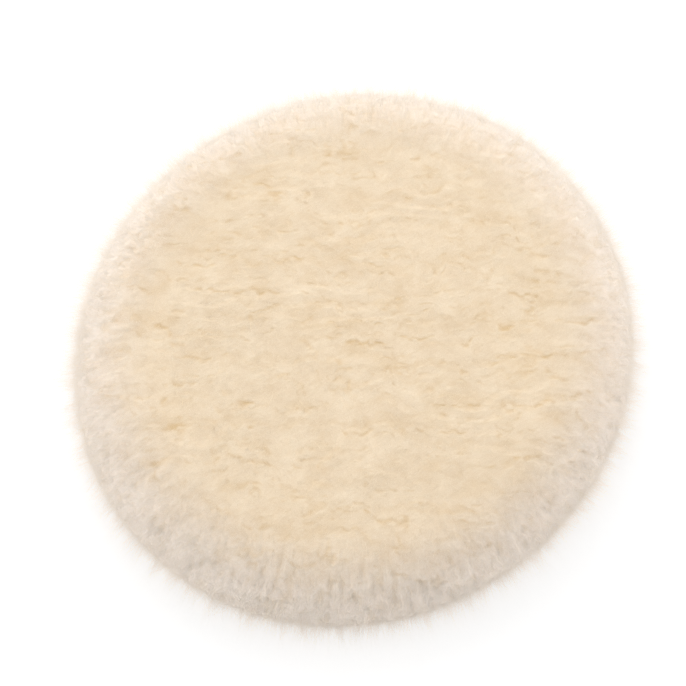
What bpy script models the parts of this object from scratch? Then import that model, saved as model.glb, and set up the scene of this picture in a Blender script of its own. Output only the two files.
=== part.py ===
"""A lambswool polishing pad with a hook-and-loop back, wool side up.

The pad is a stack of discs, each a node of its own. From the surface that it rests on, upward: the velour
loop fabric, a woven canvas, a film of glue, a thin foam disc, a second film of glue, the tanned skin, and
the wool that grows from it. A lockstitch near the rim holds the stack: its needle thread lies in a groove
of the loop fabric, and its bobbin thread lies in a groove of the skin, under the wool.

Metres, +Z up. The origin is the centre of the loop fabric's lower face, which is flat at z = 0.
"""

import math

import bpy

# Driving dimensions, in metres.
GAP = 0.0003
WOOL_RADIUS = 0.080
WOOL_TOP = 0.0310
WOOL_LOWEST = 0.0012
HIDE_RADIUS = 0.070
FOAM_RADIUS = 0.069
BACKING_RADIUS = 0.069
GLUE_RADIUS = 0.0685

LOOP_THICKNESS = 0.0020
CANVAS_THICKNESS = 0.0006
GLUE_THICKNESS = 0.0003
FOAM_THICKNESS = 0.0060
HIDE_THICKNESS = 0.0020

SEAM_RADIUS = 0.0630
THREAD_RADIUS = 0.00030
GROOVE_HALF_WIDTH = 0.0008
LOOP_GROOVE_DEPTH = 0.0014
HIDE_GROOVE_DEPTH = 0.0014
STITCHES = 66
POINTS_PER_STITCH = 3
STITCH_WAVE = 0.00015

TURN_STEPS = 72
MERGE_DISTANCE = 0.0001

# The layers' lower faces follow from their thicknesses.
CANVAS_Z = LOOP_THICKNESS + GAP
FOAM_GLUE_Z = CANVAS_Z + CANVAS_THICKNESS + GAP
FOAM_Z = FOAM_GLUE_Z + GLUE_THICKNESS + GAP
HIDE_GLUE_Z = FOAM_Z + FOAM_THICKNESS + GAP
HIDE_Z = HIDE_GLUE_Z + GLUE_THICKNESS + GAP
WOOL_Z = HIDE_Z + HIDE_THICKNESS + GAP


def clear_scene():
    for old in list(bpy.data.objects):
        bpy.data.objects.remove(old)


def material(name, colour, roughness):
    made = bpy.data.materials.new(name)
    made.use_nodes = True
    shader = made.node_tree.nodes["Principled BSDF"]
    shader.inputs["Base Color"].default_value = (*colour, 1.0)
    shader.inputs["Roughness"].default_value = roughness
    shader.inputs["Metallic"].default_value = 0.0
    return made


def turned(name, profile, look):
    """A solid of revolution about Z. The profile is a list of (radius, height), from the axis at the top,
    down the outer side, to the axis at the bottom."""
    mesh = bpy.data.meshes.new(name)
    points = [(radius, 0.0, height) for radius, height in profile]
    edges = [(i, i + 1) for i in range(len(points) - 1)]
    mesh.from_pydata(points, edges, [])
    mesh.materials.append(look)
    solid = bpy.data.objects.new(name, mesh)
    bpy.context.collection.objects.link(solid)
    screw = solid.modifiers.new("turn", "SCREW")
    screw.steps = TURN_STEPS
    screw.render_steps = TURN_STEPS
    screw.use_merge_vertices = True
    screw.merge_threshold = MERGE_DISTANCE
    return solid


def rounded(centre_r, centre_z, radius_r, radius_z, start, end, steps):
    """Points on an elliptic arc, from start to end degrees, where 0 points outward and 90 points up."""
    angles = [math.radians(start + (end - start) * i / steps) for i in range(steps + 1)]
    return [
        (centre_r + radius_r * math.cos(a), centre_z + radius_z * math.sin(a))
        for a in angles
    ]


def soft_disc(name, radius, low, high, edge, look):
    """A disc whose two rims are rounded to the given edge radius."""
    upper = rounded(radius - edge, high - edge, edge, edge, 90, 0, 2)
    lower = rounded(radius - edge, low + edge, edge, edge, 0, -90, 2)
    return turned(name, [(0.0, high), *upper, *lower, (0.0, low)], look)


def film(name, low, look):
    """A thin flat disc of glue."""
    high = low + GLUE_THICKNESS
    return turned(name, [(0.0, high), (GLUE_RADIUS, high), (GLUE_RADIUS, low), (0.0, low)], look)


def loop_fabric():
    """The velour disc. The seam pulls a groove into its lower face."""
    look = material("loop velour", (0.80, 0.79, 0.76), 0.95)
    edge = 0.0006
    upper = rounded(BACKING_RADIUS - edge, LOOP_THICKNESS - edge, edge, edge, 90, 0, 2)
    lower = rounded(BACKING_RADIUS - edge, edge, edge, edge, 0, -90, 2)
    groove = [
        (SEAM_RADIUS + GROOVE_HALF_WIDTH, 0.0),
        (SEAM_RADIUS + GROOVE_HALF_WIDTH * 0.9, LOOP_GROOVE_DEPTH),
        (SEAM_RADIUS - GROOVE_HALF_WIDTH * 0.9, LOOP_GROOVE_DEPTH),
        (SEAM_RADIUS - GROOVE_HALF_WIDTH, 0.0),
    ]
    return turned(
        "loop_fabric",
        [(0.0, LOOP_THICKNESS), *upper, *lower, *groove, (0.0, 0.0)],
        look,
    )


def backing_canvas():
    look = material("canvas", (0.72, 0.70, 0.64), 0.90)
    high = CANVAS_Z + CANVAS_THICKNESS
    profile = [(0.0, high), (BACKING_RADIUS, high), (BACKING_RADIUS, CANVAS_Z), (0.0, CANVAS_Z)]
    return turned("backing_canvas", profile, look)


def foam_interlayer():
    look = material("foam", (0.85, 0.80, 0.62), 0.95)
    return soft_disc("foam_interlayer", FOAM_RADIUS, FOAM_Z, FOAM_Z + FOAM_THICKNESS, 0.0006, look)


def glue_films():
    look = material("glue", (0.80, 0.74, 0.58), 0.45)
    film("foam_glue", FOAM_GLUE_Z, look)
    film("hide_glue", HIDE_GLUE_Z, look)


def lambskin_hide():
    """The tanned skin. The seam pulls a groove into its upper face, which the wool grows from."""
    look = material("lambskin", (0.82, 0.70, 0.52), 0.75)
    high = HIDE_Z + HIDE_THICKNESS
    edge = 0.0006
    upper = rounded(HIDE_RADIUS - edge, high - edge, edge, edge, 90, 0, 2)
    lower = rounded(HIDE_RADIUS - edge, HIDE_Z + edge, edge, edge, 0, -90, 2)
    groove = [
        (SEAM_RADIUS - GROOVE_HALF_WIDTH, high),
        (SEAM_RADIUS - GROOVE_HALF_WIDTH * 0.9, high - HIDE_GROOVE_DEPTH),
        (SEAM_RADIUS + GROOVE_HALF_WIDTH * 0.9, high - HIDE_GROOVE_DEPTH),
        (SEAM_RADIUS + GROOVE_HALF_WIDTH, high),
    ]
    return turned("lambskin_hide", [(0.0, high), *groove, *upper, *lower, (0.0, HIDE_Z)], look)


def wool_pile():
    """The wool: a low crown, a rounded rim, and a side that hangs round the edge of the layers below."""
    look = material("lambswool", (0.84, 0.71, 0.52), 1.0)
    rim_r = 0.0600
    rim_z = 0.0108
    crown_z = 0.0300
    hang_r = 0.0700
    inner = HIDE_RADIUS + 2 * GAP
    crown = [
        (rim_r * i / 5, WOOL_TOP - (WOOL_TOP - crown_z) * (i / 5) ** 2) for i in range(5)
    ]
    rim = rounded(rim_r, rim_z, WOOL_RADIUS - rim_r, crown_z - rim_z, 90, 0, 9)
    hang = rounded(hang_r, rim_z, WOOL_RADIUS - hang_r, rim_z - WOOL_LOWEST, 0, -70, 5)[1:]
    hem = [(0.0720, WOOL_LOWEST), (inner, WOOL_LOWEST + 0.0008)]
    return turned("wool_pile", [*crown, *rim, *hang, *hem, (inner, WOOL_Z), (0.0, WOOL_Z)], look)


def seam_thread(name, height, look):
    """One thread of the lockstitch: a closed ring that dips a little at the end of each stitch."""
    curve = bpy.data.curves.new(name, "CURVE")
    curve.dimensions = "3D"
    curve.bevel_depth = THREAD_RADIUS
    curve.bevel_resolution = 1
    count = STITCHES * POINTS_PER_STITCH
    spline = curve.splines.new("POLY")
    spline.points.add(count - 1)
    for i, point in enumerate(spline.points):
        turn = 2 * math.pi * i / count
        wave = STITCH_WAVE * math.cos(STITCHES * turn)
        point.co = (
            SEAM_RADIUS * math.cos(turn),
            SEAM_RADIUS * math.sin(turn),
            height + wave,
            1.0,
        )
    spline.use_cyclic_u = True
    curve.materials.append(look)
    ring = bpy.data.objects.new(name, curve)
    bpy.context.collection.objects.link(ring)
    return ring


def seam():
    look = material("thread", (0.86, 0.85, 0.82), 0.60)
    seam_thread("needle_thread", LOOP_GROOVE_DEPTH / 2, look)
    seam_thread("bobbin_thread", HIDE_Z + HIDE_THICKNESS - HIDE_GROOVE_DEPTH / 2, look)


clear_scene()
loop_fabric()
backing_canvas()
foam_interlayer()
glue_films()
lambskin_hide()
wool_pile()
seam()
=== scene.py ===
"""The looks of a lambswool polishing pad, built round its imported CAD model.

The wool is real geometry: a closed core, which is the nap's surface just under the hair tips, with its
partings, tufts and locks; a dense coat of short hairs that only just stand out of it; a looser fringe round
the rim; and a few long curled strays. Under it lie the skin, the foam, the canvas, the loop velour, two films
of glue and the two threads of the seam, each in the place of its CAD node. Everything is in metres, in the
frame of the CAD model.
"""

import itertools
import math

import bpy
import numpy as np
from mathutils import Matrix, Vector


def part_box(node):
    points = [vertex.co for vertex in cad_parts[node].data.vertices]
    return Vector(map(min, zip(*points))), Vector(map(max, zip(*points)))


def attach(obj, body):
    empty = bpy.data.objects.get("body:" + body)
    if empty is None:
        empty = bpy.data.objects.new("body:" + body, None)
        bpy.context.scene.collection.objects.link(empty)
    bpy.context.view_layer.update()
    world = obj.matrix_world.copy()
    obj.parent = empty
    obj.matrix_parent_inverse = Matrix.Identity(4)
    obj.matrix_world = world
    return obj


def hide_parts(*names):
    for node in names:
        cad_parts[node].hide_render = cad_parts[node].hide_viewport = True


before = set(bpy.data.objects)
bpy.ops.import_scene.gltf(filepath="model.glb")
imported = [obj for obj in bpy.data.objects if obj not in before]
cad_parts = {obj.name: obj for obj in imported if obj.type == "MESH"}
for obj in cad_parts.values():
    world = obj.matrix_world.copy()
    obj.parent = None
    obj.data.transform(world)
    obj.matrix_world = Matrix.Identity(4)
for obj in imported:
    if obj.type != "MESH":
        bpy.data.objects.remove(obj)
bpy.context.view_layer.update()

MM = 0.001
BODY = "root"
# Every random field and draw starts from this number and one of its own.
SEED = 11

# ---------------------------------------------------------------- the wool's outer shape, from the CAD model
WOOL_LOW, WOOL_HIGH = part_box("wool_pile")
HIDE_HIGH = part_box("lambskin_hide")[1]
PAD_RADIUS = WOOL_HIGH.x
PAD_TOP = WOOL_HIGH.z
CROWN_DROP = 1.0 * MM
RIM_START = 0.75 * PAD_RADIUS
RIM_HEIGHT = 0.35 * PAD_TOP
HANG_START = 0.875 * PAD_RADIUS
HANG_END = -70.0
SKIN_INSET = 0.6 * MM
SKIN_POINTS = 600
# The coat isn't quite round: it is fuller along one diagonal, as its nap lies that way.
OVAL = 0.034
OVAL_TURN = math.radians(38.0)


def skin_profile():
    """The wool's mean outer line, from the middle of the crown, over the rim and down to the hem: radius,
    height, their outward normal, and the length along the line."""
    crown_edge = PAD_TOP - CROWN_DROP
    flat = np.linspace(0.0, 1.0, SKIN_POINTS)
    crown_r = RIM_START * flat
    crown_z = PAD_TOP - CROWN_DROP * flat**2
    turn = np.radians(np.linspace(90.0, 0.0, SKIN_POINTS))[1:]
    rim_r = RIM_START + (PAD_RADIUS - RIM_START) * np.cos(turn)
    rim_z = RIM_HEIGHT + (crown_edge - RIM_HEIGHT) * np.sin(turn)
    droop = np.radians(np.linspace(0.0, HANG_END, SKIN_POINTS))[1:]
    hang_r = HANG_START + (PAD_RADIUS - HANG_START) * np.cos(droop)
    hang_z = RIM_HEIGHT + (RIM_HEIGHT - WOOL_LOW.z) * np.sin(droop)
    r = np.concatenate([crown_r, rim_r, hang_r])
    z = np.concatenate([crown_z, rim_z, hang_z])
    along_r, along_z = np.gradient(r), np.gradient(z)
    size = np.hypot(along_r, along_z)
    normal_r, normal_z = -along_z / size, along_r / size
    r = np.maximum(r - SKIN_INSET * normal_r, 0.0)
    z = z - SKIN_INSET * normal_z
    length = np.concatenate([[0.0], np.cumsum(np.hypot(np.diff(r), np.diff(z)))])
    return r, z, normal_r, normal_z, length


SKIN_R, SKIN_Z, SKIN_NR, SKIN_NZ, SKIN_S = skin_profile()
SKIN_LENGTH = SKIN_S[-1]


def on_skin(along, turn):
    """The points of the outer shape at a length along its profile and an angle round it, with their
    outward normals and the directions that run down the slope."""
    cos, sin = np.cos(turn), np.sin(turn)
    r, z = np.interp(along, SKIN_S, SKIN_R), np.interp(along, SKIN_S, SKIN_Z)
    nr, nz = np.interp(along, SKIN_S, SKIN_NR), np.interp(along, SKIN_S, SKIN_NZ)
    wide = r * (1.0 + OVAL * (r / PAD_RADIUS) ** 2 * np.cos(2 * (turn - OVAL_TURN)))
    point = np.stack([wide * cos, wide * sin, z], 1)
    normal = np.stack([nr * cos, nr * sin, nz], 1)
    down = np.stack([nz * cos, nz * sin, -nr], 1)
    return point, normal, down


# ---------------------------------------------------------------- points and random fields
LATTICE = 64


def polar(r, turn, z):
    """Points at a distance from the axis, an angle round it and a height."""
    return np.stack(np.broadcast_arrays(r * np.cos(turn), r * np.sin(turn), z), -1)


def full_turn(count):
    """Even angles round the pad."""
    return np.arange(count) * (2 * np.pi / count)


def lattice(seed):
    """The random values at the corners of the noise's cells, which repeat after LATTICE cells."""
    return np.random.default_rng(SEED * 1000 + seed).uniform(-1, 1, LATTICE**3)


def noise(points, size, seed):
    """Smooth random values, mostly from -0.6 to 0.6, that vary over about size, which is one length or
    one for each axis."""
    at = points / np.asarray(size)
    cell = np.floor(at)
    part = at - cell
    part = part**3 * (part * (part * 6 - 15) + 10)
    low = cell.astype(np.int64) % LATTICE
    high = (low + 1) % LATTICE
    steps = (LATTICE * LATTICE, LATTICE, 1)
    index = [(low[:, i] * steps[i], high[:, i] * steps[i]) for i in range(3)]
    table = lattice(seed)
    total = np.zeros(len(points))
    for corner in itertools.product((0, 1), repeat=3):
        share = 1.0
        for i, far in enumerate(corner):
            share = share * (part[:, i] if far else 1 - part[:, i])
        total += share * table[sum(index[i][far] for i, far in enumerate(corner))]
    return total


def layered(points, size, seed, layers=3):
    """Noise with finer layers added, each half as large and half as strong."""
    return sum(noise(points, np.asarray(size) / 2**i, seed + i) / 2**i for i in range(layers))


def drift(points, size, seed):
    """A smooth random vector for each point."""
    return np.stack([noise(points, size, seed + i) for i in range(3)], 1)


def wavered(points, size, reach, seed):
    """A smooth random move for each point, of up to about reach."""
    return reach * drift(points, size, seed)


def across(vectors, normal):
    """The part of the vectors that lies in the surface."""
    return vectors - normal * (vectors * normal).sum(1, keepdims=True)


def unit(vectors):
    return vectors / np.maximum(np.linalg.norm(vectors, axis=1, keepdims=True), 1e-12)


# ---------------------------------------------------------------- the nap's relief
# Lengths along the profile: where the rim's wool and its locks begin, and over which they take over.
RIM_BAND_START = 0.70 * PAD_RADIUS
RIM_BAND = 0.36 * PAD_RADIUS
LOCKS_START = 0.64 * PAD_RADIUS
LOCKS_BAND = 0.34 * PAD_RADIUS

# The fibres of the crown lie toward this angle, in fine streaks of this size.
FIBRE_TURN = math.radians(30.0)
STREAK_LENGTH = 2.8 * MM
STREAK_WIDTH = 0.62 * MM
STREAK_HEIGHT = 0.042 * MM


def along_fibres(points):
    """The points turned about Z, so that X runs along the fibres."""
    cos, sin = math.cos(FIBRE_TURN), math.sin(FIBRE_TURN)
    x, y, z = points.T
    return np.stack([cos * x + sin * y, cos * y - sin * x, z], 1)


def eased(along, start, band):
    """0 up to the start, 1 past the band, and a smooth change over it."""
    share = np.clip((along - start) / band, 0, 1)
    return share * share * (3 - 2 * share)


def rim_share(along):
    """0 on the crown, 1 once the surface has turned over the rim."""
    return eased(along, RIM_BAND_START, RIM_BAND)


def lock_share(along):
    """0 where the nap is shorn level, 1 where it is long enough to fall into locks."""
    return eased(along, LOCKS_START, LOCKS_BAND)


def parting(points, size, width, seed):
    """Near 1 on thin lines that run mostly along X. They fade where they would turn away from it, and where
    they would close into small rings."""
    reach = 0.2 * size[1]
    value = noise(points, size, seed)
    over_x, over_y, over_z = (
        (noise(points + step, size, seed) - value) / reach for step in reach * np.eye(3)
    )
    cross_line = over_y**2 + over_z**2
    steep = over_x**2 + cross_line + 1e-6
    away = value / np.sqrt(steep)
    open_line = np.clip(np.sqrt(steep) * size[1] / 0.9, 0, 1) ** 2
    return np.exp(-((away / width) ** 2)) * (cross_line / steep) ** 2 * open_line


# For each size of parting: a seed, the noise's size along each axis, the line's half width, the length over
# which it comes and goes, and its share of the depth.
FURROWS = (
    (31, (24 * MM, 8.0 * MM, 9 * MM), 0.60 * MM, 6.0 * MM, 0.75),
    (32, (13 * MM, 5.0 * MM, 6 * MM), 0.50 * MM, 4.0 * MM, 0.65),
    (33, (7 * MM, 3.2 * MM, 4 * MM), 0.40 * MM, 3.0 * MM, 0.55),
)
# For each size of hollow between the tufts: a seed, the noise's size along each axis, and its share.
HOLLOWS = (
    (41, (11 * MM, 2.6 * MM, 3.6 * MM), 0.90),
    (42, (5.0 * MM, 1.4 * MM, 2.0 * MM), 0.70),
    (43, (2.2 * MM, 0.8 * MM, 1.0 * MM), 0.50),
)
FURROW_DEPTH = 0.15 * MM
# The partings waver: over the first length by the second one, in wide bends and in narrow ones.
WIDE_BENDS = (7 * MM, 2.2 * MM)
NARROW_BENDS = (2.2 * MM, 0.9 * MM)
RAGGED_SIZE = (1.5 * MM, 0.8 * MM, 0.9 * MM)
# For each size of tuft row: a seed, the distance between rows, and the height of their lips.
TUFT_ROWS = (
    (51, 7.0 * MM, 0.18 * MM),
    (54, 4.0 * MM, 0.05 * MM),
)
# How far a row strays, as a share of the distance between rows.
ROWS_WANDER = 1.3
# The share of a row's width over which it rises. Over the rest it falls.
LIP = 0.42
# How much lower the rows are on the rim, where the locks take their place.
ROWS_LOST_ON_RIM = 0.7
LOCK_WIDTH = 2.0 * MM
LOCK_LENGTH = 5.0 * MM
LOCK_HEIGHT = 0.24 * MM
# How much less the partings' painted shade shows on the rim.
PARTINGS_LOST_ON_RIM = 0.6
# The coarsest relief, and lumps, whose height is in millimetres on the crown, and how much more on the rim.
SWELL_HEIGHT = 0.06 * MM
SWELL_SIZE = 24 * MM
LUMP_SIZE = (13 * MM, 4.0 * MM, 5 * MM)
CROWN_LUMPS = 0.045
RIM_LUMPS = 0.185


def furrows(points):
    """0 on the nap, up to 1 in the partings and hollows, which waver, come and go, and have ragged edges."""
    bent = points + wavered(points, *WIDE_BENDS, 21) + wavered(points, *NARROW_BENDS, 24)
    ragged = np.clip(0.55 + 1.1 * noise(points, RAGGED_SIZE, 27), 0, 1)
    lines = np.zeros(len(points))
    for seed, size, width, spread, share in FURROWS:
        where = np.clip(noise(points, spread, 20 + seed) * 2.6 + 0.30, 0, 1)
        lines = np.maximum(lines, share * where * parting(bent, size, width, seed))
    hollow = sum(share * noise(bent, size, seed) for seed, size, share in HOLLOWS)
    return np.clip(lines * ragged + np.clip(0.26 * hollow + 0.04, 0, 0.5), 0, 1)


def tuft_rows(points):
    """The height of rows of tufts that lie over each other like shingles, from the back of the pad to its
    front: each rises from the parting behind it, and falls a little more slowly to the next one."""
    height = np.zeros(len(points))
    for seed, pitch, lip in TUFT_ROWS:
        wander = layered(points, (4.5 * pitch, 3 * pitch, 3 * pitch), seed, 3)
        phase = ROWS_WANDER * wander - points[:, 1] / pitch
        share = phase - np.floor(phase)
        rise = np.clip(share / LIP, 0, 1)
        fall = np.clip((1 - share) / (1 - LIP), 0, 1)
        shown = np.clip(0.5 + 1.3 * noise(points, (3 * pitch, 1.5 * pitch, 2 * pitch), seed + 5), 0, 1)
        height += lip * shown * rise * rise * (3 - 2 * rise) * fall
    return height


# The shares of the rim's band and of the wider one of the locks in the painted light that pales the rim.
LIGHT_BY_RIM = 0.62
LIGHT_BY_LOCKS = 0.38


def painted_rim_light(along):
    """How far painted light has taken the wool's colour from the crown's to the rim's paler one."""
    return LIGHT_BY_RIM * rim_share(along) + LIGHT_BY_LOCKS * lock_share(along)


def combed(along, turn, width, length, seed):
    """Noise in streaks that run down the slope, width wide and length long."""
    return noise(polar(PAD_RADIUS, turn, along), (width, width, length), seed)


def locks(along, turn):
    """The ridges of the locks, which the longer wool of the rim falls into, down its slope."""
    wide = combed(along, turn, LOCK_WIDTH, LOCK_LENGTH, 83)
    fine = combed(along, turn, LOCK_WIDTH / 2, LOCK_LENGTH / 1.7, 84)
    return wide + 0.5 * fine


def relief(points, along, turn):
    """How far the nap stands out from the mean surface."""
    rim = rim_share(along)
    swell = SWELL_HEIGHT * noise(points, SWELL_SIZE, 61)
    lumps = (CROWN_LUMPS + RIM_LUMPS * rim) * MM * layered(points, LUMP_SIZE, 62, 3)
    ridges = LOCK_HEIGHT * lock_share(along) * locks(along, turn)
    rows = (1 - ROWS_LOST_ON_RIM * rim) * tuft_rows(points)
    return swell + lumps + ridges + rows - FURROW_DEPTH * furrows(points)


def parting_shade(points, along, turn):
    """How much painted shade darkens and yellows the nap: in the partings, and between the locks."""
    between_locks = np.clip(-0.5 * locks(along, turn) - 0.08, 0, 0.4) * lock_share(along)
    in_partings = furrows(points) * (1 - PARTINGS_LOST_ON_RIM * rim_share(along))
    return np.maximum(in_partings, between_locks)


GRID_ROWS = 250
GRID_TURNS = 1000


def nap_grid():
    """The nap's surface on a regular grid of lengths along the profile and angles, and its normals."""
    along = np.linspace(0.0, SKIN_LENGTH, GRID_ROWS + 1)
    turn = full_turn(GRID_TURNS)
    grid_s, grid_t = (x.ravel() for x in np.meshgrid(along, turn, indexing="ij"))
    point, normal, _ = on_skin(grid_s, grid_t)
    surface = (point + normal * relief(point, grid_s, grid_t)[:, None]).reshape(GRID_ROWS + 1, GRID_TURNS, 3)
    over_s = np.gradient(surface, axis=0)
    over_t = np.roll(surface, -1, axis=1) - np.roll(surface, 1, axis=1)
    facing = unit(np.cross(over_s, over_t).reshape(-1, 3)).reshape(surface.shape)
    facing[0] = (0.0, 0.0, 1.0)
    return surface, normal.reshape(surface.shape), facing


NAP_SURFACE, SKIN_NORMAL, NAP_NORMAL = nap_grid()


def nap_normal(along, turn):
    """The nap's own normals at places on the skin, read from the grid."""
    row = np.clip(along / SKIN_LENGTH * GRID_ROWS, 0, GRID_ROWS - 1e-6)
    col = (turn / (2 * np.pi) * GRID_TURNS) % GRID_TURNS
    i, j = row.astype(int), col.astype(int) % GRID_TURNS
    a, b = (row - i)[:, None], (col - np.floor(col))[:, None]
    k = (j + 1) % GRID_TURNS
    near = NAP_NORMAL[i, j] * (1 - b) + NAP_NORMAL[i, k] * b
    far = NAP_NORMAL[i + 1, j] * (1 - b) + NAP_NORMAL[i + 1, k] * b
    return unit(near * (1 - a) + far * a)


# ---------------------------------------------------------------- node materials
WHITE = (1.0, 1.0, 1.0)


def new_material(name):
    made = bpy.data.materials.new(name)
    made.use_nodes = True
    tree = made.node_tree
    return made, tree, tree.nodes["Principled BSDF"]


def ramp(tree, source, stops):
    node = tree.nodes.new("ShaderNodeValToRGB")
    while len(node.color_ramp.elements) < len(stops):
        node.color_ramp.elements.new(0.5)
    for element, (place, colour) in zip(node.color_ramp.elements, stops):
        element.position = place
        element.color = (*colour, 1.0)
    tree.links.new(source, node.inputs["Fac"])
    return node.outputs["Color"]


def mottled(tree, node, dark, light):
    """A colour that goes between two tones with the node's noise."""
    return ramp(tree, node.outputs["Fac"], [(0.3, dark), (0.7, light)])


def places(tree):
    """The coordinates of the piece itself, in metres."""
    return tree.nodes.new("ShaderNodeTexCoord").outputs["Object"]


def between(tree, source, low, high, out_low, out_high):
    """A number that goes from out_low to out_high as the source goes from low to high."""
    node = tree.nodes.new("ShaderNodeMapRange")
    for name, value in (("From Min", low), ("From Max", high), ("To Min", out_low), ("To Max", out_high)):
        node.inputs[name].default_value = value
    tree.links.new(source, node.inputs["Value"])
    return node.outputs["Result"]


def roughened(tree, shader, node, low, high):
    """A roughness that goes from low to high with the node's noise."""
    tree.links.new(between(tree, node.outputs["Fac"], 0.3, 0.7, low, high), shader.inputs["Roughness"])


def texture(tree, kind, coordinates, scale, **values):
    node = tree.nodes.new(kind)
    tree.links.new(coordinates, node.inputs["Vector"])
    node.inputs["Scale"].default_value = scale
    for name, value in values.items():
        node.inputs[name].default_value = value
    return node


def mixed(tree, first, second, share, how="MULTIPLY"):
    """Two colours mixed, with share as a number or as another node's output."""
    node = tree.nodes.new("ShaderNodeMix")
    node.data_type = "RGBA"
    node.blend_type = how
    if isinstance(share, float):
        node.inputs["Factor"].default_value = share
    else:
        tree.links.new(share, node.inputs["Factor"])
    tree.links.new(first, node.inputs[6])
    tree.links.new(second, node.inputs[7])
    return node.outputs[2]


def bump(tree, shader, height, strength, distance):
    node = tree.nodes.new("ShaderNodeBump")
    node.inputs["Strength"].default_value = strength
    node.inputs["Distance"].default_value = distance
    tree.links.new(height, node.inputs["Height"])
    tree.links.new(node.outputs["Normal"], shader.inputs["Normal"])


def streaks(tree, share):
    """Pale and slightly darker streaks along the fibres: a colour to multiply by, and how much of it shows,
    which is none where share is 1."""
    turned = tree.nodes.new("ShaderNodeMapping")
    turned.vector_type = "TEXTURE"
    turned.inputs["Rotation"].default_value = (0.0, 0.0, FIBRE_TURN)
    turned.inputs["Scale"].default_value = (STREAK_LENGTH, STREAK_WIDTH, STREAK_WIDTH)
    tree.links.new(places(tree), turned.inputs["Vector"])
    strokes = texture(tree, "ShaderNodeTexNoise", turned.outputs["Vector"], 1.0, Detail=2.0, Distortion=0.5)
    shown = between(tree, share, 0.0, 1.0, 1.0, 0.0)
    return ramp(tree, strokes.outputs["Fac"], [(0.34, (0.972, 0.958, 0.935)), (0.62, WHITE)]), shown


# The export keeps a map of this name, and makes one for a piece without it.
WOOL_MAP = "OFBake"
# Base colours from the root of a hair to its tip, for the hairs of a parting, the crown and the rim.
# Painted shade makes the roots and the parting hairs darker and yellower; painted light makes the rim's
# paler.
PARTING_SHADE_TONE = ((0.90, 0.72, 0.45), (0.92, 0.76, 0.52), (0.94, 0.80, 0.60))
CROWN_TONE = ((0.94, 0.79, 0.58), (0.97, 0.86, 0.70), (0.98, 0.90, 0.785))
RIM_LIGHT_TONE = ((0.98, 0.885, 0.79), (0.99, 0.925, 0.86), (0.995, 0.945, 0.90))
# The nap under the tips, each from its darker to its lighter mottles.
# Painted shade makes the partings' nap darker and yellower; painted light makes the rim's paler.
CORE_PARTING_SHADE = ((0.66, 0.49, 0.29), (0.72, 0.55, 0.35))
CORE_CROWN = ((0.76, 0.625, 0.46), (0.82, 0.695, 0.53))
CORE_RIM_LIGHT = ((0.935, 0.82, 0.73), (0.975, 0.89, 0.82))


def woolly(shader, specular, sheen_roughness):
    """The soft, slightly warm sheen of wool."""
    shader.inputs["Specular IOR Level"].default_value = specular
    shader.inputs["Sheen Weight"].default_value = 0.20
    shader.inputs["Sheen Roughness"].default_value = sheen_roughness
    shader.inputs["Sheen Tint"].default_value = (1.0, 0.95, 0.90, 1.0)


def wool_hair_material():
    """Hair, from its root at v = 0 to its tip at v = 1, darkened toward the root with painted shade. Along u
    the tone goes from that of a parting, darker with painted shade, over that of the crown in the middle, to
    that of the rim, paler with painted light."""
    made, tree, shader = new_material("wool_hair")
    where = tree.nodes.new("ShaderNodeUVMap")
    where.uv_map = WOOL_MAP
    parts = tree.nodes.new("ShaderNodeSeparateXYZ")
    tree.links.new(where.outputs["UV"], parts.inputs[0])
    parting_shade_tone, crown_tone, rim_light_tone = (
        ramp(tree, parts.outputs["Y"], list(zip((0.3, 0.7, 1.0), tone)))
        for tone in (PARTING_SHADE_TONE, CROWN_TONE, RIM_LIGHT_TONE)
    )
    # From u = 0 to 0.5 a parting's painted shade gives way to the crown, and past it the rim's painted light.
    inner = between(tree, parts.outputs["X"], 0.0, 0.5, 0.0, 1.0)
    outer = between(tree, parts.outputs["X"], 0.5, 1.0, 0.0, 1.0)
    body = mixed(tree, mixed(tree, parting_shade_tone, crown_tone, inner, "MIX"), rim_light_tone, outer, "MIX")
    strand = texture(tree, "ShaderNodeTexNoise", where.outputs["UV"], 60.0, Detail=2.0)
    shade = mottled(tree, strand, (0.98, 0.97, 0.95), WHITE)
    body = mixed(tree, mixed(tree, body, shade, 1.0), *streaks(tree, outer))
    tree.links.new(body, shader.inputs["Base Color"])
    tree.links.new(between(tree, parts.outputs["Y"], 0.0, 1.0, 1.0, 0.8), shader.inputs["Roughness"])
    woolly(shader, 0.10, 0.5)
    return made


def measure(tree, name):
    """A number that the mesh carries for each of its points."""
    node = tree.nodes.new("ShaderNodeAttribute")
    node.attribute_name = name
    return node.outputs["Fac"]


def wool_core_material():
    """The nap under the hair tips: cream and mottled, darker and yellower in the partings with painted shade,
    paler round the rim with painted light, and with a fine felted grain."""
    made, tree, shader = new_material("wool_core")
    where = places(tree)
    blotch = texture(tree, "ShaderNodeTexNoise", where, 140.0, Detail=4.0)
    body = mottled(tree, blotch, *CORE_CROWN)
    rim_light = mottled(tree, blotch, *CORE_RIM_LIGHT)
    painted_shade = mottled(tree, blotch, *CORE_PARTING_SHADE)
    # Painted light pales the rim's nap; painted shade darkens and yellows its partings.
    body = mixed(tree, body, rim_light, measure(tree, "rim_light"), "MIX")
    body = mixed(tree, body, painted_shade, measure(tree, "parting_shade"), "MIX")
    grain = texture(tree, "ShaderNodeTexNoise", where, 2600.0, Detail=3.0, Roughness=0.7)
    speck = ramp(tree, grain.outputs["Fac"], [(0.35, (0.95, 0.93, 0.90)), (0.65, WHITE)])
    body = mixed(tree, mixed(tree, body, speck, 1.0), *streaks(tree, measure(tree, "rim_light")))
    tree.links.new(body, shader.inputs["Base Color"])
    bump(tree, shader, grain.outputs["Fac"], 0.4, 0.12 * MM)
    roughened(tree, shader, grain, 0.9, 1.0)
    woolly(shader, 0.05, 0.6)
    return made


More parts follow.
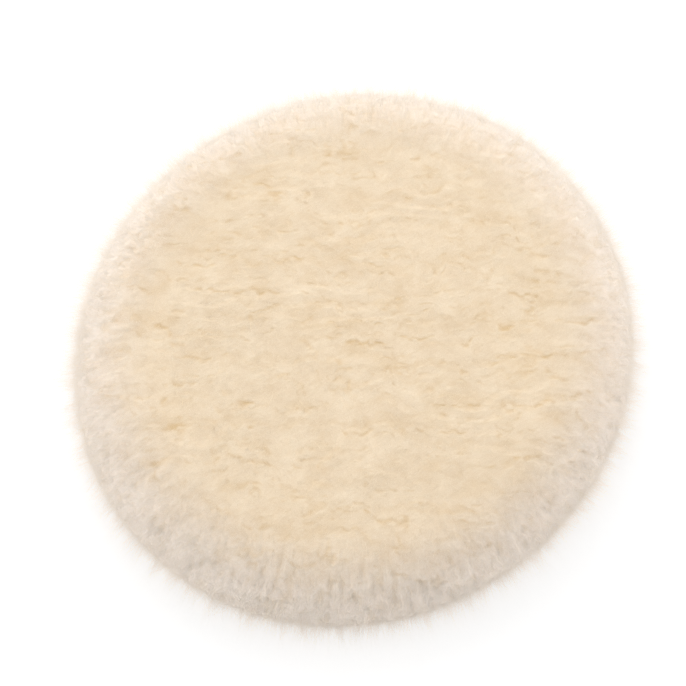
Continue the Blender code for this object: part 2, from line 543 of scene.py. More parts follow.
# ---------------------------------------------------------------- meshes
def in_scene(name, data):
    """A new object in the scene, for a mesh, a lamp or a camera."""
    made = bpy.data.objects.new(name, data)
    bpy.context.scene.collection.objects.link(made)
    return made


def mesh_object(name, points, faces, look, uv=None, normals=None, values=None):
    """A smooth mesh of triangles or quads from arrays, with uv as one pair per point or per face corner,
    normals, where given, instead of the mesh's own, and named values for its points."""
    mesh = bpy.data.meshes.new(name)
    corners = faces.shape[1]
    mesh.vertices.add(len(points))
    mesh.vertices.foreach_set("co", points.astype(np.float32).ravel())
    mesh.loops.add(faces.size)
    mesh.loops.foreach_set("vertex_index", faces.astype(np.int32).ravel())
    mesh.polygons.add(len(faces))
    mesh.polygons.foreach_set("loop_start", np.arange(0, faces.size, corners, dtype=np.int32))
    mesh.polygons.foreach_set("loop_total", np.full(len(faces), corners, np.int32))
    if uv is not None:
        layer = mesh.uv_layers.new(name=WOOL_MAP)
        corner_uv = uv if len(uv) == faces.size else uv[faces.ravel()]
        layer.data.foreach_set("uv", corner_uv.astype(np.float32).ravel())
    for key, numbers in (values or {}).items():
        held = mesh.attributes.new(key, "FLOAT", "POINT")
        held.data.foreach_set("value", numbers.astype(np.float32))
    mesh.materials.append(look)
    mesh.update(calc_edges=True)
    mesh.validate()
    mesh.shade_smooth()
    if normals is not None:
        own = mesh.attributes.new("custom_normal", "FLOAT_VECTOR", "POINT")
        own.data.foreach_set("vector", normals.astype(np.float32).ravel())
        mesh.update()
    return in_scene(name, mesh)


# The radius of a round chart of the map, where the chart's cell is 1 wide.
CHART_RADIUS = 0.48


def closed_rings(rings, top, bottom, fold, split=0.5):
    """Points and triangles of a closed body, from rings of points (rows, turns, 3) and its two poles, with a
    map of two round charts side by side: the left one, split wide, for the rings up to fold, and the right
    one for the rest."""
    rows, turns, _ = rings.shape
    points = np.concatenate([[top], rings.reshape(-1, 3), [bottom]])
    here = np.arange(turns)[None, :]
    there = (here + 1) % turns
    start = 1 + np.arange(rows - 1)[:, None] * turns
    quads = np.stack([start + here, start + here + turns, start + there + turns, start + there], 2)
    quads = quads.reshape(-1, 4)
    fan_top = np.stack([np.zeros(turns, int), 1 + here[0], 1 + there[0]], 1)
    last = 1 + (rows - 1) * turns
    fan_low = np.stack([np.full(turns, len(points) - 1), last + there[0], last + here[0]], 1)
    faces = np.concatenate([fan_top, quads[:, [0, 1, 2]], quads[:, [0, 2, 3]], fan_low])
    line = np.concatenate([[top], rings[:, 0], [bottom]])
    length = np.concatenate([[0.0], np.cumsum(np.linalg.norm(np.diff(line, axis=0), axis=1))])
    row = np.concatenate([[0], np.repeat(np.arange(rows) + 1, turns), [rows + 1]])
    angle = np.concatenate([[0.0], np.tile(2 * np.pi * here[0] / turns, rows), [0.0]])
    round_ = np.stack([np.cos(angle), np.sin(angle)], 1)
    upper = (length[row] / length[fold])[:, None] * round_
    lower = ((length[-1] - length[row]) / (length[-1] - length[fold]))[:, None] * round_
    upper = upper * (CHART_RADIUS * split, CHART_RADIUS) + (0.5 * split, 0.5)
    lower = lower * (CHART_RADIUS * (1 - split), CHART_RADIUS) + (0.5 * (1 + split), 0.5)
    is_upper = row[faces].max(1) <= fold
    return points, faces, np.where(is_upper[:, None, None], upper[faces], lower[faces]).reshape(-1, 2)


# ---------------------------------------------------------------- the wool core
CROWN_CORE_DEPTH = 0.52 * MM
RIM_CORE_DEPTH = 0.50 * MM
CORE_SPLIT = 0.85
# The clearances of the core's underside from the skin, and the height of its hem's inner edge.
CORE_ROUND_SKIN = 0.6 * MM
CORE_OVER_SKIN = 0.3 * MM
HEM_RISE = 0.8 * MM


def wool_core(look):
    """The nap under the hair tips, closed underneath like the CAD pile that it stands for."""
    along = np.linspace(0.0, SKIN_LENGTH, GRID_ROWS + 1)
    rim = rim_share(along)
    depth = CROWN_CORE_DEPTH + (RIM_CORE_DEPTH - CROWN_CORE_DEPTH) * rim
    outer = (NAP_SURFACE - depth[:, None, None] * SKIN_NORMAL)[1:]
    outer[..., 2] = np.maximum(outer[..., 2], WOOL_LOW.z)
    turns = GRID_TURNS
    turn = full_turn(turns)
    inner_r = HIDE_HIGH.x + CORE_ROUND_SKIN
    under_z = HIDE_HIGH.z + CORE_OVER_SKIN
    inner = [polar(inner_r, turn, z) for z in (WOOL_LOW.z + HEM_RISE, under_z)]
    rings = np.concatenate([outer, np.stack(inner)])
    top = np.array([0.0, 0.0, SKIN_Z[0] - CROWN_CORE_DEPTH])
    points, faces, uv = closed_rings(rings, top, np.array([0.0, 0.0, under_z]), len(rings), CORE_SPLIT)
    # Painted light pales the rim, and painted shade darkens the partings and the gaps between locks.
    rim_light = np.append(painted_rim_light(along[1:]), (1.0, 1.0))
    rim_light = np.concatenate([[0.0], np.repeat(rim_light, turns), [1.0]])
    skin = parting_shade(NAP_SURFACE[1:].reshape(-1, 3), np.repeat(along[1:], turns), np.tile(turn, GRID_ROWS))
    skin = np.concatenate([[0.0], skin, np.zeros(2 * turns + 1)])
    values = {"rim_light": rim_light, "parting_shade": skin}
    return mesh_object("wool_core", points, faces, look, uv=uv, values=values)


# ---------------------------------------------------------------- the hair
HAIRS = 500_000
SECTORS = 12
HAIR_LENGTH = 4.2 * MM
HAIR_WIDTH = 0.15 * MM
CROWN_OWN_NORMAL = 0.55
RIM_OWN_NORMAL = 0.85
SHADES = 90
# How far chance alone changes a hair's tone, where 1 is the whole way from a parting's to the rim's.
TONE_CHANCE = 0.13
# How unequal the hairs' heights are, in millimetres, on the crown, and how much more on the rim.
CROWN_UNEVEN = 0.07
RIM_UNEVEN = 0.23
LOCK_PULL = 0.5
# The normals of the rim's hairs are turned up by this much, as light passes between hairs from above.
RIM_LIFT = 1.6
# How hairs lean from upright: all of them one way, with their place, by chance, and down the slope, which is
# stronger on the rim. Their streaks bend over the first length by the second one.
NAP_LEAN = np.array([-0.30, -0.26, 0.0])
LEAN_DRIFT = 0.25
LEAN_CHANCE = 0.28
CROWN_DOWN = 0.10
RIM_DOWN = 0.85
STREAK_BENDS = (6 * MM, 1.5 * MM)
# No hair's tip or root comes lower than this.
TIP_CLEARANCE = 0.4 * MM
ROOT_CLEARANCE = 1.4 * MM


def spread_on_skin(count, rng, first=0.0):
    """Random places on the outer shape, as many for each square millimetre everywhere past the first
    length along it."""
    share = np.concatenate([[0.0], np.cumsum(SKIN_R[1:] * np.diff(SKIN_S))])
    low = np.interp(first, SKIN_S, share)
    along = np.interp(low + rng.random(count) * (share[-1] - low), share, SKIN_S)
    return along, rng.random(count) * 2 * np.pi


def to_lock(along, turn):
    """How hairs lean sideways to the ridge of their lock."""
    step = 0.2 * LOCK_WIDTH / PAD_RADIUS
    rise = locks(along, turn + step) - locks(along, turn - step)
    side = np.stack([-np.sin(turn), np.cos(turn), np.zeros(len(turn))], 1)
    return LOCK_PULL * rise[:, None] * side


def above_table(root, tip):
    """The paths of straight hairs, whose ends are lifted where they would come too low."""
    tip[:, 2] = np.maximum(tip[:, 2], TIP_CLEARANCE)
    root[:, 2] = np.maximum(root[:, 2], ROOT_CLEARANCE)
    return np.stack([root, tip], 1)


def nap_hairs(along, turn, rng):
    """The path of each hair of the coat, root to tip, as two points."""
    point, normal, down = on_skin(along, turn)
    rim = rim_share(along)
    height = relief(point, along, turn)
    streak = (STREAK_LENGTH, STREAK_WIDTH, STREAK_WIDTH)
    bent = point + wavered(point, *STREAK_BENDS, 86)
    height += STREAK_HEIGHT * layered(along_fibres(bent), streak, 81, 2)
    height += (CROWN_UNEVEN + RIM_UNEVEN * rim) * MM * rng.standard_normal(len(along))
    loose = rng.standard_normal(point.shape)
    lean = NAP_LEAN + LEAN_DRIFT * drift(point, 15 * MM, 71) + LEAN_CHANCE * loose
    lean = across(lean, normal) + down * (CROWN_DOWN + RIM_DOWN * rim)[:, None]
    lean += to_lock(along, turn) * rim[:, None]
    tip = point + normal * height[:, None]
    root = tip - HAIR_LENGTH * unit(normal + lean)
    return above_table(root, tip)


def strands(paths, width, normals, own_normal, rng):
    """Closed three-sided hairs along paths (count, steps, 3), which taper to a point: their points, faces,
    a map with one shade column for each and the root at v = 0, and normals that mostly follow the nap's."""
    count, steps, _ = paths.shape
    one = unit(np.cross(paths[:, -1] - paths[:, 0], rng.standard_normal((count, 3))))
    two = unit(np.cross(paths[:, -1] - paths[:, 0], one))
    share = np.arange(steps - 1) / (steps - 1)
    rings, facing = [], []
    for step in range(steps - 1):
        half = (width / 2 * (1 - share[step] ** 2))[:, None]
        for k in range(3):
            side = math.cos(2 * np.pi * k / 3) * one + math.sin(2 * np.pi * k / 3) * two
            rings.append(paths[:, step] + half * side)
            facing.append(unit(normals + own_normal[:, None] * side))
    points = np.stack([*rings, paths[:, -1]], 1)
    facing = np.stack([*facing, normals], 1)
    each = points.shape[1]
    pattern = [[0, 2, 1]]
    for step in range(steps - 2):
        low, high = 3 * step, 3 * step + 3
        for k in range(3):
            n = (k + 1) % 3
            pattern += [[low + k, low + n, high + n], [low + k, high + n, high + k]]
    last = 3 * (steps - 2)
    pattern += [[last, last + 1, each - 1], [last + 1, last + 2, each - 1], [last + 2, last, each - 1]]
    faces = (np.array(pattern)[None] + each * np.arange(count)[:, None, None]).reshape(-1, 3)
    spread = np.tile([-0.4, 0.4, 0.0], steps - 1)
    v = np.append(np.repeat(share, 3), 1.0) * 0.98 + 0.01
    return points.reshape(-1, 3), faces, np.append(spread, 0.0), v, facing.reshape(-1, 3)


def hair_piece(name, paths, width, along, turn, look, rng):
    """One piece of hair, toned by its place's painted shade and light, with some chance in each."""
    rim = rim_share(along)
    facing = unit(nap_normal(along, turn) + np.array([0.0, 0.0, RIM_LIFT]) * rim[:, None])
    own_normal = CROWN_OWN_NORMAL + (RIM_OWN_NORMAL - CROWN_OWN_NORMAL) * rim
    points, faces, spread, v, facing = strands(paths, width, facing, own_normal, rng)
    # Painted shade darkens a hair's tone in the partings, and painted light pales it on the rim.
    painted_shade = parting_shade(on_skin(along, turn)[0], along, turn)
    tone = 0.5 + 0.5 * painted_rim_light(along) - 0.5 * painted_shade + TONE_CHANCE * rng.standard_normal(len(along))
    column = np.floor(np.clip(tone, 0, 0.999) * SHADES) + 0.5
    u = ((column[:, None] + spread[None]) / SHADES).ravel()
    uv = np.stack([u, np.tile(v, len(along))], 1)
    return mesh_object(name, points, faces, look, uv=uv, normals=facing)


def wool_nap(look):
    """The dense coat of hair, in sectors, each a piece of its own."""
    rng = np.random.default_rng(SEED)
    along, turn = spread_on_skin(HAIRS, rng)
    made = []
    for sector in range(SECTORS):
        mine = np.floor(turn / (2 * np.pi) * SECTORS).astype(int) == sector
        s, t = along[mine], turn[mine]
        paths = nap_hairs(s, t, rng)
        width = HAIR_WIDTH * rng.uniform(0.6, 1.25, len(s))
        made.append(hair_piece(f"wool_nap_{sector}", paths, width, s, t, look, rng))
    return made


FRINGE_HAIRS = 196_000
FRINGE_PIECES = 4
FRINGE_WIDTH = 0.038 * MM
FRINGE_START = 0.72 * PAD_RADIUS
# The fringe's lengths in millimetres, and how deep its roots lie in the nap.
FRINGE_SHORTEST = 0.3
FRINGE_MEAN = 4.4
FRINGE_LONGEST = 10.0
FRINGE_ROOT = 2.0 * MM
# How the fringe leans: with its place, by chance, down the slope, and to the ridge of its lock.
FRINGE_DRIFT = 0.35
FRINGE_CHANCE = 0.25
FRINGE_DOWN = 0.4
FRINGE_PULL = 0.4


def wool_fringe(look):
    """Finer, longer hairs that stand out from the rim and the side in wisps and soften their edge."""
    rng = np.random.default_rng(SEED + 1)
    made = []
    for part in range(FRINGE_PIECES):
        along, turn = spread_on_skin(FRINGE_HAIRS // FRINGE_PIECES, rng, FRINGE_START)
        point, normal, down = on_skin(along, turn)
        rim = rim_share(along)
        wisp = 0.7 + 0.6 * locks(along, turn)
        reach = FRINGE_SHORTEST + rng.exponential(FRINGE_MEAN, len(along)) * np.clip(wisp, 0.6, 1.0)
        reach = np.minimum(reach * rim, FRINGE_LONGEST) * MM
        lean = FRINGE_DRIFT * drift(point, 3.0 * MM, 92)
        lean = across(lean + FRINGE_CHANCE * rng.standard_normal(point.shape), normal)
        lean += FRINGE_DOWN * down * rim[:, None] + FRINGE_PULL * to_lock(along, turn)
        way = unit(normal + lean)
        base = point + normal * relief(point, along, turn)[:, None]
        root, tip = base - FRINGE_ROOT * way, base + reach[:, None] * way
        width = FRINGE_WIDTH * rng.uniform(0.7, 1.3, len(along))
        paths = above_table(root, tip)
        made.append(hair_piece(f"wool_fringe_{part}", paths, width, along, turn, look, rng))
    return made


STRAYS = 2_600
STRAY_STEPS = 7
STRAY_WIDTH = 0.055 * MM
# The strays' own lengths, what chance adds on average, the longest, and how wide they curl, in millimetres.
STRAY_LENGTHS = (2.5, 5.0)
STRAY_EXTRA = 1.2
STRAY_LONGEST = 9.0
STRAY_CURLS = (0.3, 1.1)
STRAY_ROOT = 1.0 * MM


def wool_strays(look):
    """Single long hairs that the shears missed: each curls as it comes out of the nap."""
    rng = np.random.default_rng(SEED + 2)
    along, turn = spread_on_skin(STRAYS, rng)
    point, normal, down = on_skin(along, turn)
    rim = rim_share(along)
    length = rng.uniform(*STRAY_LENGTHS, STRAYS) + rng.exponential(STRAY_EXTRA, STRAYS) * (0.4 + rim)
    length = np.minimum(length, STRAY_LONGEST) * MM
    lean = across(rng.standard_normal(point.shape), normal)
    way = unit(normal * (0.25 + 0.5 * rim)[:, None] + 0.8 * lean + 0.5 * down * rim[:, None])
    one = unit(np.cross(way, normal + 1e-6))
    two = np.cross(way, one)
    curl = rng.uniform(*STRAY_CURLS, STRAYS) * MM
    phase = rng.uniform(0, 2 * np.pi, STRAYS)
    turns = rng.uniform(0.4, 1.1, STRAYS)
    steps = []
    for step in range(STRAY_STEPS):
        share = step / (STRAY_STEPS - 1)
        angle = phase + 2 * np.pi * turns * share
        side = (np.cos(angle) - np.cos(phase))[:, None] * one + (np.sin(angle) - np.sin(phase))[:, None] * two
        steps.append(point - STRAY_ROOT * normal + way * (length * share)[:, None] + side * curl[:, None])
    paths = np.stack(steps, 1)
    paths[..., 2] = np.maximum(paths[..., 2], TIP_CLEARANCE)
    width = STRAY_WIDTH * rng.uniform(0.7, 1.3, STRAYS)
    return hair_piece("wool_strays", paths, width, along, turn, look, rng)


# ---------------------------------------------------------------- the layers under the wool
LAYER_TURNS = 360
RING_STEP = 1.3 * MM
SEAM_RADIUS = 63.0 * MM
GROOVE_HALF = 0.8 * MM
GROOVE_DEPTH = 1.3 * MM
STITCHES = 66
# The rings of a layer: along the bend of an edge, from edge to edge, and across the seam's groove.
EDGE_POINTS = 5
SIDE_POINTS = 8
GROOVE_POINTS = 14
FILMS = ("foam_glue", "hide_glue")
CANVAS_PITCH = 0.7 * MM
# Darker to lighter tones. In the weaves the darker one is painted shade where the threads dip; in the nylon
# and
# the thread the two are random shades.
CANVAS_TONE = ((0.58, 0.56, 0.50), (0.78, 0.76, 0.70))
VELOUR_PITCH = 0.45 * MM
VELOUR_TONE = ((0.68, 0.67, 0.64), (0.86, 0.85, 0.82))
THREAD_TONE = ((0.80, 0.79, 0.75), (0.92, 0.91, 0.88))
# The distance between the bands of a wave texture whose scale is 1.
WAVE_PERIOD = 0.314


def suede():
    """Tanned sheepskin: tan, mottled, with pores and a short suede grain."""
    made, tree, shader = new_material("lambskin")
    where = places(tree)
    blotch = texture(tree, "ShaderNodeTexNoise", where, 90.0, Detail=5.0)
    pores = texture(tree, "ShaderNodeTexVoronoi", where, 900.0, Randomness=1.0)
    body = mottled(tree, blotch, (0.74, 0.60, 0.42), (0.84, 0.71, 0.53))
    # The pores darken toward their middles, where the bump sinks them: painted shade.
    dots = ramp(tree, pores.outputs["Distance"], [(0.05, (0.80, 0.74, 0.66)), (0.35, WHITE)])
    tree.links.new(mixed(tree, body, dots, 1.0), shader.inputs["Base Color"])
    roughened(tree, shader, blotch, 0.9, 0.7)
    bump(tree, shader, pores.outputs["Distance"], 0.5, 0.2 * MM)
    return made


def glue_look():
    """Latex glue, rolled on: amber cream, glossier where it pooled."""
    made, tree, shader = new_material("laminating_glue")
    where = places(tree)
    pool = texture(tree, "ShaderNodeTexNoise", where, 160.0, Detail=4.0, Distortion=0.6)
    body = mottled(tree, pool, (0.74, 0.65, 0.46), (0.84, 0.78, 0.62))
    tree.links.new(body, shader.inputs["Base Color"])
    roughened(tree, shader, pool, 0.30, 0.60)
    bump(tree, shader, pool.outputs["Fac"], 0.4, 0.2 * MM)
    return made


def foam_look():
    """Open-cell foam: pale yellow walls round cells that painted shade darkens toward their sunken middles.
    """
    made, tree, shader = new_material("foam")
    where = places(tree)
    cells = texture(tree, "ShaderNodeTexVoronoi", where, 1400.0, Randomness=1.0)
    cells.feature = "DISTANCE_TO_EDGE"
    tint = texture(tree, "ShaderNodeTexNoise", where, 60.0, Detail=3.0)
    # The cells darken toward their middles, where the bump sinks them: painted shade.
    wall = ramp(tree, cells.outputs["Distance"], [(0.02, (0.86, 0.82, 0.66)), (0.22, (0.66, 0.60, 0.44))])
    age = mottled(tree, tint, (0.96, 0.94, 0.88), WHITE)
    tree.links.new(mixed(tree, wall, age, 1.0), shader.inputs["Base Color"])
    tree.links.new(between(tree, cells.outputs["Distance"], 0.0, 0.3, 0.85, 1.0), shader.inputs["Roughness"])
    turned_over = between(tree, cells.outputs["Distance"], 0.0, 0.3, 1.0, 0.0)
    bump(tree, shader, turned_over, 0.9, 0.35 * MM)
    return made


def woven(name, pitch, dark, light, depth):
    """A plain weave: threads along X and Y, each over and under the other, at the given pitch, with painted
    shade.
    """
    made, tree, shader = new_material(name)
    where = places(tree)
    threads = []
    for axis in ("X", "Y"):
        band = texture(tree, "ShaderNodeTexWave", where, WAVE_PERIOD / pitch, Distortion=0.3, Detail=1.0)
        band.bands_direction = axis
        threads.append(band.outputs["Fac"])
    over = texture(tree, "ShaderNodeTexChecker", where, 1.0 / pitch)
    height = tree.nodes.new("ShaderNodeMix")
    tree.links.new(over.outputs["Fac"], height.inputs["Factor"])
    tree.links.new(threads[0], height.inputs[2])
    tree.links.new(threads[1], height.inputs[3])
    fuzz = texture(tree, "ShaderNodeTexNoise", where, 1500.0, Detail=3.0)
    # The weave's colour darkens where it is low, between and under the threads: painted shade.
    body = ramp(tree, height.outputs[0], [(0.1, dark), (0.7, light)])
    shade = mottled(tree, fuzz, (0.90, 0.89, 0.87), WHITE)
    tree.links.new(mixed(tree, body, shade, 1.0), shader.inputs["Base Color"])
    roughened(tree, shader, fuzz, 0.85, 1.0)
    bump(tree, shader, height.outputs[0], 0.8, depth)
    return made


def fibre(name, dark, light, scale):
    """Spun nylon or polyester: a soft sheen, and shades that differ from thread to thread."""
    made, tree, shader = new_material(name)
    where = places(tree)
    tint = texture(tree, "ShaderNodeTexNoise", where, scale, Detail=3.0)
    body = mottled(tree, tint, dark, light)
    tree.links.new(body, shader.inputs["Base Color"])
    roughened(tree, shader, tint, 0.75, 0.55)
    shader.inputs["Sheen Weight"].default_value = 0.3
    bump(tree, shader, tint.outputs["Fac"], 0.3, 0.05 * MM)
    return made


def groove(radius):
    """How deep the seam pulls a face in, at a distance from the middle."""
    off = np.abs(radius - SEAM_RADIUS) / GROOVE_HALF
    return GROOVE_DEPTH * np.clip(1.6 - 1.6 * off, 0, 1)


def layer(name, node, look, seed, groove_up=0.0, groove_down=0.0, lift=0.0, wander=0.12 * MM):
    """A soft disc in the place of a CAD node: its faces are a little uneven, its cut edge wanders, and the
    seam may pull a groove into either face. lift raises the lower face."""
    low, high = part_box(node)
    bottom_z, top_z = low.z + lift, high.z
    edge = min(0.3 * (top_z - bottom_z), 0.6 * MM)
    flat = np.arange(RING_STEP, high.x - edge, RING_STEP)
    near = SEAM_RADIUS + GROOVE_HALF * np.linspace(-1.3, 1.3, GROOVE_POINTS)
    flat = np.sort(np.concatenate([flat[np.abs(flat - SEAM_RADIUS) > 1.4 * GROOVE_HALF], near]))
    bend = np.radians(np.linspace(0, 90, EDGE_POINTS))
    side = np.linspace(top_z - edge, bottom_z + edge, SIDE_POINTS)[1:-1]
    upper_r, upper_z = high.x - edge + edge * np.sin(bend), top_z - edge + edge * np.cos(bend)
    lower_r, lower_z = upper_r[::-1], bottom_z + edge - edge * np.cos(bend[::-1])
    r = np.concatenate([flat, upper_r, np.full(len(side), high.x), lower_r, flat[::-1]])
    z = np.concatenate([
        top_z - groove_up * groove(flat), upper_z, side, lower_z, bottom_z + groove_down * groove(flat[::-1])
    ])
    turn = full_turn(LAYER_TURNS)
    rings = polar(r[:, None], turn, z[:, None])
    spots = rings.reshape(-1, 3)
    outward = np.clip(r / high.x * 6 - 5, 0, 1)[:, None]
    cut = noise(spots * (1, 1, 0), 3 * MM, seed).reshape(len(r), -1) * wander * outward
    cut -= 0.6 * wander * outward
    rings[..., 0] += cut * np.cos(turn)
    rings[..., 1] += cut * np.sin(turn)
    middle = 0.5 * (bottom_z + top_z)
    thin = 1 - 0.08 * (0.5 + 0.5 * noise(spots, 4 * MM, seed + 1).reshape(len(r), -1))
    rings[..., 2] = middle + (rings[..., 2] - middle) * thin
    poles = np.array([0.0, 0.0, top_z]), np.array([0.0, 0.0, bottom_z])
    middle_row = len(flat) + EDGE_POINTS + SIDE_POINTS // 2 - 1
    points, faces, uv = closed_rings(rings, *poles, middle_row)
    return mesh_object(name, points, faces, look, uv=uv)


LOOPS = 14_000
LOOP_PIECES = 2
LOOP_SPAN = 0.42 * MM
LOOP_WIDTH = 0.13 * MM
LOOP_STEPS = 6
LOOP_BASE = 0.55 * MM
LOOP_MARGIN = 0.8 * MM
# Loops' normals are mostly those of their own round sides.
LOOP_OWN_NORMAL = 4.0


def loop_pile(look):
    """The loops that a hook-faced plate grips, which stand down from the velour's base."""
    rng = np.random.default_rng(SEED + 3)
    low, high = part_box("loop_fabric")
    made = []
    for part in range(LOOP_PIECES):
        count = LOOPS // LOOP_PIECES
        r = (high.x - LOOP_MARGIN) * np.sqrt(rng.random(count))
        near_seam = np.abs(r - SEAM_RADIUS) < 1.5 * GROOVE_HALF
        r[near_seam] -= 3.0 * GROOVE_HALF
        turn = rng.random(count) * 2 * np.pi
        foot = polar(r, turn, low.z + LOOP_BASE)
        way = polar(1.0, rng.random(count) * 2 * np.pi, 0.0)
        tall = (LOOP_BASE - 0.5 * LOOP_WIDTH) * rng.uniform(0.7, 1.0, count)
        steps = []
        for step in range(LOOP_STEPS):
            angle = np.pi * step / (LOOP_STEPS - 1)
            drop = np.array([0.0, 0.0, -math.sin(angle)])
            steps.append(foot + way * LOOP_SPAN * math.cos(angle) + tall[:, None] * drop)
        paths = np.stack(steps, 1)
        down = np.tile([0.0, 0.0, -1.0], (count, 1))
        width = np.full(count, LOOP_WIDTH)
        own_normal = np.full(count, LOOP_OWN_NORMAL)
        points, faces, spread, v, facing = strands(paths, width, down, own_normal, rng)
        column = rng.integers(0, SHADES, count) + 0.5
        uv = np.stack([((column[:, None] + spread[None]) / SHADES).ravel(), np.tile(v, count)], 1)
        made.append(mesh_object(f"loop_pile_{part}", points, faces, look, uv=uv, normals=facing))
    return made


THREAD_STEPS = 2640
PLIES = 2
PLY_SIDES = 6
PLY_RADIUS = 0.17 * MM
PLY_OFFSET = 0.13 * MM
TWISTS = 330
STITCH_DIP = 0.45 * MM


def seam_thread(name, node, look, inward):
    """One thread of the lockstitch: two plies twisted together, which dip into the layers at the end of
    each stitch. inward is 1 where the layers are above the thread, and -1 where they are below."""
    low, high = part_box(node)
    turn = full_turn(THREAD_STEPS)
    dip = STITCH_DIP * np.cos(STITCHES * turn / 2) ** 12
    height = 0.5 * (low.z + high.z) + inward * dip
    made = []
    spin = TWISTS * turn
    for ply in range(PLIES):
        angle = spin + 2 * np.pi * ply / PLIES
        r = SEAM_RADIUS + PLY_OFFSET * np.cos(angle)
        z = height + PLY_OFFSET * np.sin(angle)
        around = 2 * np.pi * np.arange(PLY_SIDES) / PLY_SIDES
        tube_r = r[:, None] + PLY_RADIUS * np.cos(around)
        tube_z = z[:, None] + PLY_RADIUS * np.sin(around)
        made.append(polar(tube_r, turn[:, None], tube_z).reshape(-1, 3))
    i = np.arange(THREAD_STEPS)[:, None] * PLY_SIDES
    j = (i + PLY_SIDES) % (THREAD_STEPS * PLY_SIDES)
    k = np.arange(PLY_SIDES)[None, :]
    n = (k + 1) % PLY_SIDES
    faces = np.stack([i + k, j + k, j + n, i + n], 2).reshape(-1, 4)
    faces = np.concatenate([faces + ply * THREAD_STEPS * PLY_SIDES for ply in range(PLIES)])
    return mesh_object(name, np.concatenate(made), faces, look)


def layers():
    """Every piece under the wool, each in the place of its CAD node."""
    skin = layer("lambskin", "lambskin_hide", suede(), 101, groove_up=1.0)
    glue = glue_look()
    films = [layer(f"{node}_film", node, glue, 103 + i, wander=0.5 * MM) for i, node in enumerate(FILMS)]
    foam = layer("foam", "foam_interlayer", foam_look(), 106, wander=0.2 * MM)
    weave = woven("canvas", CANVAS_PITCH, *CANVAS_TONE, 0.2 * MM)
    canvas = layer("canvas", "backing_canvas", weave, 108)
    knit = woven("velour_base", VELOUR_PITCH, *VELOUR_TONE, 0.1 * MM)
    velour = layer("velour", "loop_fabric", knit, 110, groove_down=1.0, lift=LOOP_BASE)
    nylon = fibre("loop_nylon", *VELOUR_TONE, 700.0)
    polyester = fibre("thread", *THREAD_TONE, 900.0)
    needle = seam_thread("needle_thread_plies", "needle_thread", polyester, 1)
    bobbin = seam_thread("bobbin_thread_plies", "bobbin_thread", polyester, -1)
    for piece, node, slot in (
        (skin, "lambskin_hide", "lambskin"),
        (films[0], FILMS[0], "laminating_glue"),
        (films[1], FILMS[1], "laminating_glue"),
        (foam, "foam_interlayer", "foam"),
        (canvas, "backing_canvas", "canvas"),
        (velour, "loop_fabric", "loop_velour"),
        (needle, "needle_thread", "thread"),
        (bobbin, "bobbin_thread", "thread"),
    ):
        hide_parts(node)
        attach(piece, BODY)
    for piece in loop_pile(nylon):
        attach(piece, BODY)


# ---------------------------------------------------------------- the stage
VIEW_ELEVATION = 73.5
VIEW_LENS = 85.0
VIEW_DISTANCE = 0.463
VIEW_ASIDE = -3.4 * MM
VIEW_ABOVE = 1.0 * MM


def camera():
    """The camera looks a little left of the pad's middle and past it, so the pad stands lower in view."""
    data = bpy.data.cameras.new("camera")
    data.lens = VIEW_LENS
    data.sensor_width = 36.0
    made = in_scene("camera", data)
    tilt = math.radians(VIEW_ELEVATION)
    back = Vector((0.0, -math.cos(tilt), math.sin(tilt)))
    up = Vector((0.0, math.sin(tilt), math.cos(tilt)))
    aim = Vector((VIEW_ASIDE, 0.0, 0.5 * PAD_TOP)) + up * VIEW_ABOVE
    made.location = aim + back * VIEW_DISTANCE
    made.rotation_mode = "QUATERNION"
    made.rotation_quaternion = (-back).to_track_quat("-Z", "Y")
    data.clip_start = 0.01
    data.clip_end = 20.0
    bpy.context.scene.camera = made


def area_light(name, place, size, power, colour):
    """A round soft lamp that faces the pad."""
    data = bpy.data.lights.new(name, "AREA")
    data.shape = "DISK"
    data.size = size
    data.energy = power
    data.color = colour
    made = in_scene(name, data)
    made.location = Vector(place)
    made.rotation_mode = "QUATERNION"
    made.rotation_quaternion = (-Vector(place)).to_track_quat("-Z", "Y")


FLOOR_TONE = 0.40
FLOOR_GLOW = 0.64
FLOOR_REACH = 6.0


def floor():
    """A white table that is lit a little from within, as a photographer's light table is."""
    made, tree, shader = new_material("floor")
    shader.inputs["Base Color"].default_value = (FLOOR_TONE, FLOOR_TONE, FLOOR_TONE, 1.0)
    shader.inputs["Roughness"].default_value = 0.9
    shader.inputs["Emission Color"].default_value = (*WHITE, 1.0)
    shader.inputs["Emission Strength"].default_value = FLOOR_GLOW
    points = FLOOR_REACH * np.array([[-1.0, -1.0, 0.0], [1.0, -1.0, 0.0], [1.0, 1.0, 0.0], [-1.0, 1.0, 0.0]])
    mesh_object("floor", points, np.array([[0, 1, 2, 3]]), made)


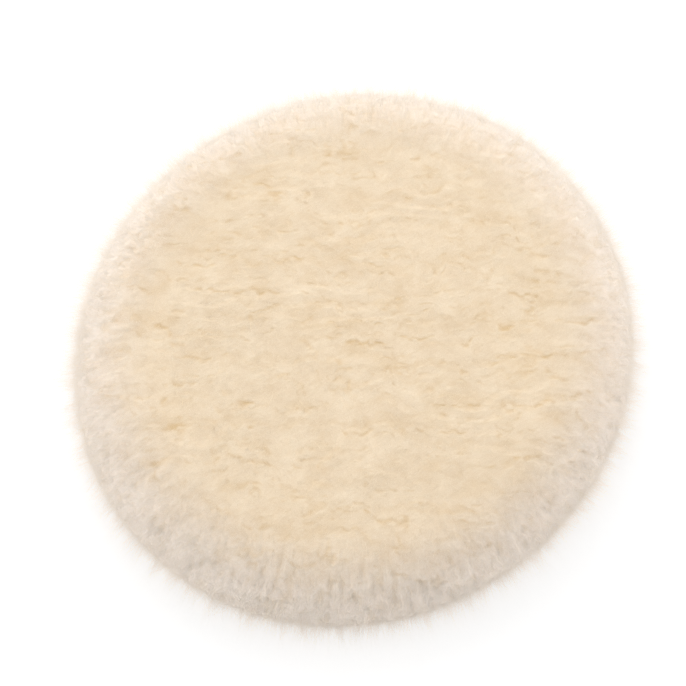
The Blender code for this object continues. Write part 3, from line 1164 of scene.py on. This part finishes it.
# The studio's walls are brighter than its ceiling, so that the pad's side is lit as well as its crown, and
# its back wall is brighter than its front one.
SKY_LOW = 2.35
SKY_HIGH = 0.46
SKY_FRONT = 0.62
SKY_BACK = 1.10


def daylight():
    """The studio round the pad: a white sky whose strength changes with direction."""
    world = bpy.data.worlds.new("studio")
    world.use_nodes = True
    tree = world.node_tree
    sky = tree.nodes["Background"]
    sky.inputs["Color"].default_value = (*WHITE, 1.0)
    parts = tree.nodes.new("ShaderNodeSeparateXYZ")
    tree.links.new(tree.nodes.new("ShaderNodeTexCoord").outputs["Generated"], parts.inputs[0])
    by_height = between(tree, parts.outputs["Z"], 0.0, 1.0, SKY_LOW, SKY_HIGH)
    by_side = between(tree, parts.outputs["Y"], -1.0, 1.0, SKY_FRONT, SKY_BACK)
    both = tree.nodes.new("ShaderNodeMath")
    both.operation = "MULTIPLY"
    tree.links.new(by_height, both.inputs[0])
    tree.links.new(by_side, both.inputs[1])
    tree.links.new(both.outputs["Value"], sky.inputs["Strength"])
    bpy.context.scene.world = world


# The soft lamps: a name, a place, a diameter in metres, a power in watts and a colour.
LAMPS = (
    ("key", (-0.20, 0.75, 0.80), 0.90, 4.0, (1.0, 0.98, 0.95)),
    ("left_fill", (-1.15, -0.05, 0.45), 0.70, 2.8, (1.0, 0.97, 0.955)),
    ("right_fill", (1.15, -0.05, 0.45), 0.70, 2.8, (1.0, 0.97, 0.955)),
)
BOUNCES = 24


def stage():
    """The floor, the sky and the lamps, and how they are rendered."""
    floor()
    daylight()
    for lamp in LAMPS:
        area_light(*lamp)
    scene = bpy.context.scene
    scene.view_settings.view_transform = "Standard"
    scene.cycles.use_denoising = True
    scene.cycles.denoising_prefilter = "NONE"
    scene.cycles.max_bounces = BOUNCES
    scene.cycles.diffuse_bounces = BOUNCES


# ---------------------------------------------------------------- all of it
camera()
stage()
hair = wool_hair_material()
core = wool_core(wool_core_material())
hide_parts("wool_pile")
layers()
for piece in [core, *wool_nap(hair), *wool_fringe(hair), wool_strays(hair)]:
    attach(piece, BODY)
